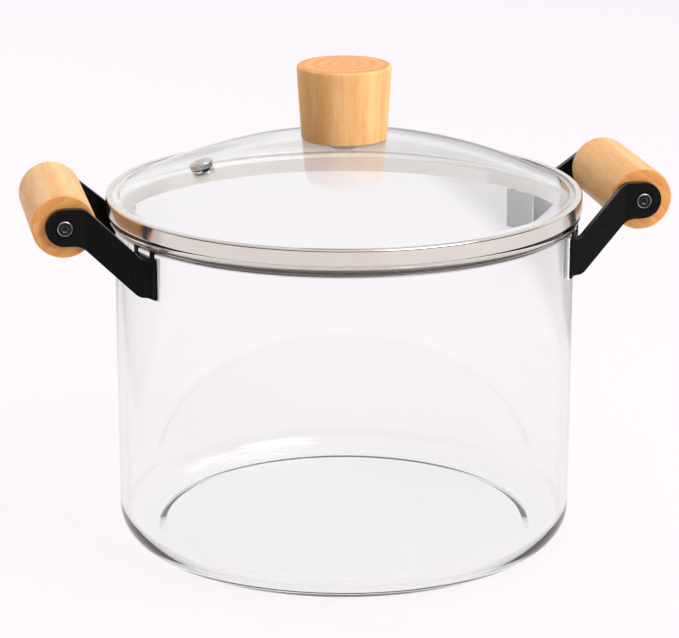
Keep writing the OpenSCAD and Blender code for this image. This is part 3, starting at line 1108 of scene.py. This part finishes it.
@dataclass
class Studio:
    """Floor, sky, lamps and camera. Sizes in metres unless named otherwise."""

    floor_half: float = 5.0
    floor_colour: Colour = (0.973, 0.931, 0.965, 1.0)
    floor_glow: float = 0.82
    floor_share: float = 0.16
    floor_end: Colour = (0.02, 0.018, 0.016, 1.0)
    floor_lit: Colour = (0.82, 0.80, 0.81, 1.0)
    floor_below: float = 0.0001
    end_x: float = 0.2
    end_left_y: float = 0.11
    end_right_y: float = 0.2
    end_blur: float = 0.04
    end_share: float = 0.35
    view_direction: float = -11.23
    view_turn: float = -11.133
    view_pitch: float = 16.41
    view_distance: float = 1.1754
    view_height: float = 0.4415
    lens_mm: float = 147.4
    sensor_mm: float = 36.0

    def build(self) -> None:
        """Sets the whole studio up."""
        self._floor()
        self._sky()
        self._lamps()
        self._camera()
        bpy.context.scene.view_settings.view_transform = "Standard"

    def _floor(self) -> None:
        """Lays a pale floor that shows even white and still takes the object's shadow."""
        shape = bmesh.new()
        bmesh.ops.create_grid(shape, x_segments=1, y_segments=1, size=self.floor_half)
        bmesh.ops.translate(shape, verts=shape.verts[:], vec=(0.0, 0.0, -self.floor_below))
        floor = to_object("floor", shape)
        material = bpy.data.materials.new("pale_floor")
        material.use_nodes = True
        s = Shading(material.node_tree)
        output = s.node("ShaderNodeOutputMaterial")
        seen = s.node("ShaderNodeEmission")
        rays = s.node("ShaderNodeLightPath")
        spot = s.node("ShaderNodeSeparateXYZ")
        s.link(s.node("ShaderNodeNewGeometry").outputs["Position"], spot.inputs[0])
        far_x = self.end_x + self.end_blur
        left_back = s.ease(spot.outputs["Y"], self.end_left_y, self.end_left_y + self.end_blur)
        left = s.maths("MULTIPLY", s.ease(spot.outputs["X"], -self.end_x, -far_x), left_back)
        right_back = s.ease(spot.outputs["Y"], self.end_right_y, self.end_right_y + self.end_blur)
        right = s.maths("MULTIPLY", s.ease(spot.outputs["X"], self.end_x, far_x), right_back)
        beyond = s.maths("MULTIPLY", s.maths("MAXIMUM", left, right), self.end_share)
        beyond = s.maths("MULTIPLY", beyond, rays.outputs["Is Glossy Ray"])
        s.link(s.blend(beyond, self.floor_colour, self.floor_end), seen.inputs["Color"])
        seen.inputs["Strength"].default_value = self.floor_glow
        lit = s.node("ShaderNodeBsdfDiffuse")
        share = [self.floor_share * c for c in self.floor_colour[:3]]
        lit.inputs["Color"].default_value = (*share, 1.0)
        shown = s.node("ShaderNodeAddShader")
        s.link(seen.outputs[0], shown.inputs[0])
        s.link(lit.outputs[0], shown.inputs[1])
        plain = s.node("ShaderNodeBsdfDiffuse")
        plain.inputs["Color"].default_value = self.floor_lit
        direct = s.maths("ADD", rays.outputs["Is Camera Ray"], rays.outputs["Is Glossy Ray"], True)
        direct = s.maths("ADD", direct, rays.outputs["Is Transmission Ray"], True)
        mix = s.node("ShaderNodeMixShader")
        s.link(direct, mix.inputs["Fac"])
        s.link(plain.outputs[0], mix.inputs[1])
        s.link(shown.outputs[0], mix.inputs[2])
        s.link(mix.outputs[0], output.inputs["Surface"])
        floor.data.materials.append(material)

    def _sky(self) -> None:
        """Surrounds the object with a soft pale sky, dimmer low down than overhead."""
        world = bpy.data.worlds.new("studio")
        bpy.context.scene.world = world
        world.use_nodes = True
        s = Shading(world.node_tree)
        output = s.node("ShaderNodeOutputWorld")
        sky = s.node("ShaderNodeBackground")
        direction = s.node("ShaderNodeSeparateXYZ")
        s.link(s.node("ShaderNodeTexCoord").outputs["Generated"], direction.inputs[0])
        height = s.ease(direction.outputs["Z"], 0.0, 0.7)
        behind = s.ease(direction.outputs["Y"], -0.1, 0.5)
        low = s.blend(behind, (0.60, 0.585, 0.56, 1.0), (1.02, 1.0, 1.01, 1.0))
        pale = s.blend(height, low, (0.92, 0.92, 0.92, 1.0))
        left = s.ease(direction.outputs["X"], -0.1, -0.8)
        pale = s.blend(s.maths("MULTIPLY", left, 0.6), pale, (0.30, 0.295, 0.29, 1.0))
        side = s.maths("ABSOLUTE", direction.outputs["X"])
        flag = s.maths("MULTIPLY", s.ease(side, 0.62, 0.82), s.ease(direction.outputs["Z"], 0.62, 0.3))
        front = s.ease(direction.outputs["Y"], 0.25, -0.1)
        flag = s.maths("MULTIPLY", flag, front)
        above_floor = s.ease(direction.outputs["Z"], -0.02, 0.05)
        gloom = s.maths("MULTIPLY", above_floor, s.ease(direction.outputs["Z"], 0.62, 0.45))
        gloom = s.maths("MULTIPLY", gloom, s.ease(direction.outputs["Y"], -0.15, -0.45))
        flag = s.maths("MAXIMUM", flag, gloom)
        s.link(s.blend(flag, pale, (0.03, 0.028, 0.026, 1.0)), sky.inputs["Color"])
        sky.inputs["Strength"].default_value = 1.0
        s.link(sky.outputs[0], output.inputs["Surface"])

    def _lamps(self) -> None:
        """Hangs the softboxes."""
        self._lamp("key_softbox", (0.9, -1.0, 1.9), (1.3, 0.9), 26.0, mirrored=True)
        self._lamp("front_softbox", (1.3, -1.5, 0.7), (0.6, 0.5), 17.0)
        self._lamp("rear_softbox", (-0.9, 1.3, 1.1), (0.8, 0.35), 8.0)

    def _lamp(
        self,
        name: str,
        at: tuple[float, float, float],
        size: tuple[float, float],
        watts: float,
        mirrored: bool = False,
    ) -> None:
        """Hangs one softbox, aimed at the pot.

        Args:
            name: its name.
            at: its place.
            size: width and height of its face.
            watts: its power.
            mirrored: whether it shows in polished surfaces and through glass.
        """
        light = bpy.data.lights.new(name, "AREA")
        light.shape = "RECTANGLE"
        light.size, light.size_y = size
        light.energy = watts
        lamp = bpy.data.objects.new(name, light)
        lamp.location = at
        aim = Vector((0.0, 0.0, 0.08)) - Vector(at)
        lamp.rotation_euler = aim.to_track_quat("-Z", "Y").to_euler()
        lamp.visible_glossy = mirrored
        lamp.visible_transmission = mirrored
        bpy.context.scene.collection.objects.link(lamp)

    def _camera(self) -> None:
        """Sets the camera in front of the pot, a little above it and to its left."""
        data = bpy.data.cameras.new("view")
        data.lens = self.lens_mm
        data.sensor_width = self.sensor_mm
        camera = bpy.data.objects.new("view", data)
        away = math.radians(self.view_direction)
        camera.location = (
            math.sin(away) * self.view_distance,
            -math.cos(away) * self.view_distance,
            self.view_height,
        )
        camera.rotation_euler = (math.radians(90.0 - self.view_pitch), 0.0, math.radians(self.view_turn))
        bpy.context.scene.collection.objects.link(camera)
        bpy.context.scene.camera = camera


def main() -> None:
    """Builds the saucepan and its studio."""
    logging.basicConfig(level=logging.INFO, format="%(name)s: %(message)s")
    finishes = Finishes()
    Pot(finishes).build()
    for which in Handle:
        SideHandle(finishes, which).build()
    Lid(finishes).build()
    Studio().build()


if __name__ == "__main__":
    main()
